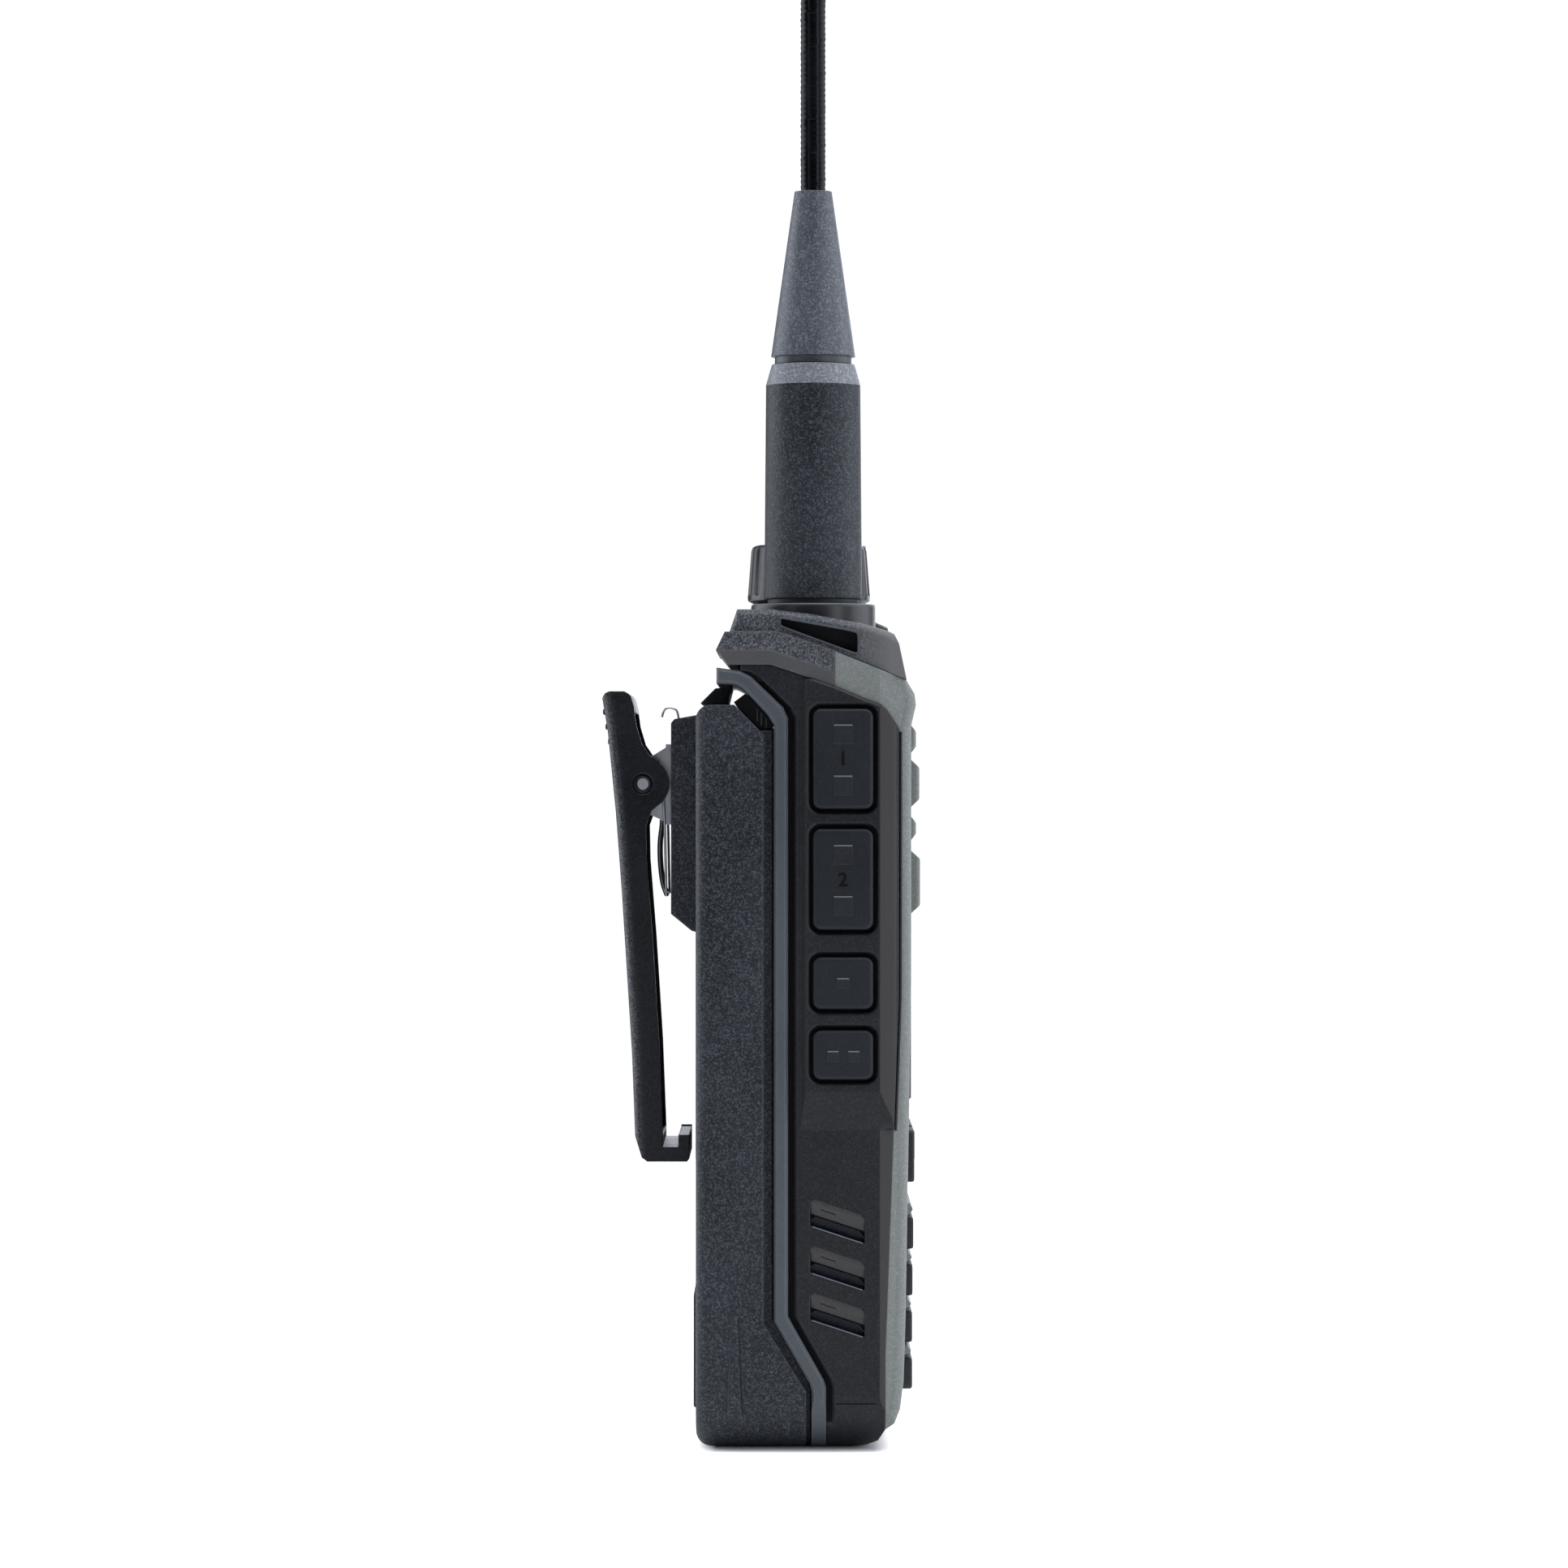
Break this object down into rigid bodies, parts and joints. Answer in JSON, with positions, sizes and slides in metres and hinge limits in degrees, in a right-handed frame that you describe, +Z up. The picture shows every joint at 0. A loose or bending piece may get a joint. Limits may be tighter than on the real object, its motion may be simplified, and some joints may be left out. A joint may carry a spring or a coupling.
{
  "type": "portable two-way radio",
  "caption": "Handheld two-way radio with a whip antenna, side push-to-talk buttons, keypad, volume knob, removable battery pack and sprung belt clip.",
  "frame": {"origin": "on the plane the radio stands on, at the middle of its width, under the battery's front part", "axes": "+Z up along the antenna, -Y towards the keypad side, +Y towards the belt side, +X to the right of someone facing the keypad"},
  "size_m": [0.0595, 0.0469, 0.322],
  "materials": {
    "grain_black": "coarse moulded grain",
    "side_black": "fine moulded grain",
    "cover_grey": "satin moulded",
    "band_grey": "smooth satin",
    "frame_grey": "satin",
    "button_rubber": "fine matte",
    "key_rubber": "matte with printed legends",
    "soft_rubber": "speckled soft rubber",
    "whip_gloss": "glossy sleeve over a spring",
    "knob_black": "satin",
    "clip_black": "grained outside, smooth sides",
    "steel": "satin",
    "zinc": "zinc plated",
    "gold": "gold plated",
    "circuit": "solder mask",
    "mesh_black": "woven",
    "screen": "clear",
    "panel": "display",
    "lamp": "diffusing",
    "foam_black": "dull",
    "cell_wrap": "shrink wrap"
  },
  "bodies": {
    "housing": {"main_housing": "side_black", "rear_plate": "frame_grey", "front_cover": "cover_grey", "bumper_strip": "band_grey", "top_cap": "grain_black", "led_lens": "lamp", "antenna_collar": "knob_black", "antenna_socket": "gold", "volume_encoder": "zinc", "main_board": "circuit", "speaker_driver": "foam_black", "speaker_mesh": "mesh_black", "display_lens": "screen", "display_module": "panel", "keypad_mat": "key_rubber", "microphone": "zinc", "side_switches": "circuit", "jack_block": "foam_black", "housing_screws": "zinc", "contact_pins": "gold"},
    "battery": {"battery_shell": "grain_black", "battery_contacts": "gold", "battery_cells": "cell_wrap", "clip_mount": "grain_black", "clip_bracket": "steel", "clip_pin": "steel", "clip_spring": "steel", "clip_screws": "zinc"},
    "belt_clip": {"clip_arm": "clip_black"},
    "latch": {"battery_latch": "side_black"},
    "antenna_washer": {"antenna_seal": "key_rubber"},
    "antenna": {"antenna_base": "grain_black", "antenna_connector": "gold", "antenna_cone": "soft_rubber", "antenna_whip": "whip_gloss"},
    "knob": {"volume_knob": "knob_black"},
    "jack_flap": {"jack_cover": "button_rubber"},
    "ptt_button_a_body": {"ptt_button_a": "button_rubber"},
    "ptt_button_b_body": {"ptt_button_b": "button_rubber"},
    "side_key_upper_body": {"side_key_upper": "button_rubber"},
    "side_key_lower_body": {"side_key_lower": "button_rubber"},
    "key_star_body": {"key_star": "key_rubber"},
    "key_0_body": {"key_0": "key_rubber"},
    "key_hash_body": {"key_hash": "key_rubber"},
    "key_exit_body": {"key_exit": "key_rubber"},
    "key_7_body": {"key_7": "key_rubber"},
    "key_8_body": {"key_8": "key_rubber"},
    "key_9_body": {"key_9": "key_rubber"},
    "key_down_body": {"key_down": "key_rubber"},
    "key_4_body": {"key_4": "key_rubber"},
    "key_5_body": {"key_5": "key_rubber"},
    "key_6_body": {"key_6": "key_rubber"},
    "key_up_body": {"key_up": "key_rubber"},
    "key_1_body": {"key_1": "key_rubber"},
    "key_2_body": {"key_2": "key_rubber"},
    "key_3_body": {"key_3": "key_rubber"},
    "key_menu_body": {"key_menu": "key_rubber"},
    "function_left_body": {"function_left": "key_rubber"},
    "function_centre_body": {"function_centre": "key_rubber"},
    "function_right_body": {"function_right": "key_rubber"}
  },
  "joints": [
    {"name": "battery_pull", "type": "slide", "parent": "housing", "child": "battery", "axis": [0, 1, 0], "range_m": [0, 0.03]},
    {"name": "clip_open", "type": "hinge", "parent": "battery", "child": "belt_clip", "pos_m": [0, 0.02245, 0.0968], "axis": [1, 0, 0], "range_deg": [0, 15], "stiffness_Nm_per_rad": 0.15, "springref_deg": -20.05},
    {"name": "latch_slide", "type": "slide", "parent": "housing", "child": "latch", "axis": [0, 1, 0], "range_m": [0, 0.0015], "stiffness_N_per_m": 400, "springref_m": -0.001},
    {"name": "antenna_lift", "type": "slide", "parent": "housing", "child": "antenna_washer", "axis": [0, 0, 1], "range_m": [0, 0.00354]},
    {"name": "antenna_unscrew", "type": "hinge", "parent": "antenna_washer", "child": "antenna", "pos_m": [-0.015, -0.0027, 0.124], "axis": [0, 0, 1], "range_deg": [0, 1800]},
    {"name": "volume_turn", "type": "hinge", "parent": "housing", "child": "knob", "pos_m": [0.015, -0.0022, 0.124], "axis": [0, 0, 1], "range_deg": [-280, 0]},
    {"name": "jack_cover_swing", "type": "hinge", "parent": "housing", "child": "jack_flap", "pos_m": [0.0291, -0.007, 0.08], "axis": [0, 1, 0], "range_deg": [0, 110], "stiffness_Nm_per_rad": 0.004, "springref_deg": -17.19},
    {"name": "ptt_button_a_press", "type": "slide", "parent": "housing", "child": "ptt_button_a_body", "axis": [1, 0, 0], "range_m": [0, 0.0008], "stiffness_N_per_m": 900, "springref_m": -0.0006},
    {"name": "ptt_button_b_press", "type": "slide", "parent": "housing", "child": "ptt_button_b_body", "axis": [1, 0, 0], "range_m": [0, 0.0008], "stiffness_N_per_m": 900, "springref_m": -0.0006},
    {"name": "side_key_upper_press", "type": "slide", "parent": "housing", "child": "side_key_upper_body", "axis": [1, 0, 0], "range_m": [0, 0.0008], "stiffness_N_per_m": 900, "springref_m": -0.0006},
    {"name": "side_key_lower_press", "type": "slide", "parent": "housing", "child": "side_key_lower_body", "axis": [1, 0, 0], "range_m": [0, 0.0008], "stiffness_N_per_m": 900, "springref_m": -0.0006},
    {"name": "key_star_press", "type": "slide", "parent": "housing", "child": "key_star_body", "axis": [0, 1, 0], "range_m": [0, 0.0006], "stiffness_N_per_m": 700, "springref_m": -0.0005},
    {"name": "key_0_press", "type": "slide", "parent": "housing", "child": "key_0_body", "axis": [0, 1, 0], "range_m": [0, 0.0006], "stiffness_N_per_m": 700, "springref_m": -0.0005},
    {"name": "key_hash_press", "type": "slide", "parent": "housing", "child": "key_hash_body", "axis": [0, 1, 0], "range_m": [0, 0.0006], "stiffness_N_per_m": 700, "springref_m": -0.0005},
    {"name": "key_exit_press", "type": "slide", "parent": "housing", "child": "key_exit_body", "axis": [0, 1, 0], "range_m": [0, 0.0006], "stiffness_N_per_m": 700, "springref_m": -0.0005},
    {"name": "key_7_press", "type": "slide", "parent": "housing", "child": "key_7_body", "axis": [0, 1, 0], "range_m": [0, 0.0006], "stiffness_N_per_m": 700, "springref_m": -0.0005},
    {"name": "key_8_press", "type": "slide", "parent": "housing", "child": "key_8_body", "axis": [0, 1, 0], "range_m": [0, 0.0006], "stiffness_N_per_m": 700, "springref_m": -0.0005},
    {"name": "key_9_press", "type": "slide", "parent": "housing", "child": "key_9_body", "axis": [0, 1, 0], "range_m": [0, 0.0006], "stiffness_N_per_m": 700, "springref_m": -0.0005},
    {"name": "key_down_press", "type": "slide", "parent": "housing", "child": "key_down_body", "axis": [0, 1, 0], "range_m": [0, 0.0006], "stiffness_N_per_m": 700, "springref_m": -0.0005},
    {"name": "key_4_press", "type": "slide", "parent": "housing", "child": "key_4_body", "axis": [0, 1, 0], "range_m": [0, 0.0006], "stiffness_N_per_m": 700, "springref_m": -0.0005},
    {"name": "key_5_press", "type": "slide", "parent": "housing", "child": "key_5_body", "axis": [0, 1, 0], "range_m": [0, 0.0006], "stiffness_N_per_m": 700, "springref_m": -0.0005},
    {"name": "key_6_press", "type": "slide", "parent": "housing", "child": "key_6_body", "axis": [0, 1, 0], "range_m": [0, 0.0006], "stiffness_N_per_m": 700, "springref_m": -0.0005},
    {"name": "key_up_press", "type": "slide", "parent": "housing", "child": "key_up_body", "axis": [0, 1, 0], "range_m": [0, 0.0006], "stiffness_N_per_m": 700, "springref_m": -0.0005},
    {"name": "key_1_press", "type": "slide", "parent": "housing", "child": "key_1_body", "axis": [0, 1, 0], "range_m": [0, 0.0006], "stiffness_N_per_m": 700, "springref_m": -0.0005},
    {"name": "key_2_press", "type": "slide", "parent": "housing", "child": "key_2_body", "axis": [0, 1, 0], "range_m": [0, 0.0006], "stiffness_N_per_m": 700, "springref_m": -0.0005},
    {"name": "key_3_press", "type": "slide", "parent": "housing", "child": "key_3_body", "axis": [0, 1, 0], "range_m": [0, 0.0006], "stiffness_N_per_m": 700, "springref_m": -0.0005},
    {"name": "key_menu_press", "type": "slide", "parent": "housing", "child": "key_menu_body", "axis": [0, 1, 0], "range_m": [0, 0.0006], "stiffness_N_per_m": 700, "springref_m": -0.0005},
    {"name": "function_left_press", "type": "slide", "parent": "housing", "child": "function_left_body", "axis": [0, 1, 0], "range_m": [0, 0.0006], "stiffness_N_per_m": 700, "springref_m": -0.0005},
    {"name": "function_centre_press", "type": "slide", "parent": "housing", "child": "function_centre_body", "axis": [0, 1, 0], "range_m": [0, 0.0006], "stiffness_N_per_m": 700, "springref_m": -0.0005},
    {"name": "function_right_press", "type": "slide", "parent": "housing", "child": "function_right_body", "axis": [0, 1, 0], "range_m": [0, 0.0006], "stiffness_N_per_m": 700, "springref_m": -0.0005}
  ],
  "couplings": [
    {"joint": "antenna_lift", "follows": "antenna_unscrew", "m_per_rad": 0.00011236}
  ]
}
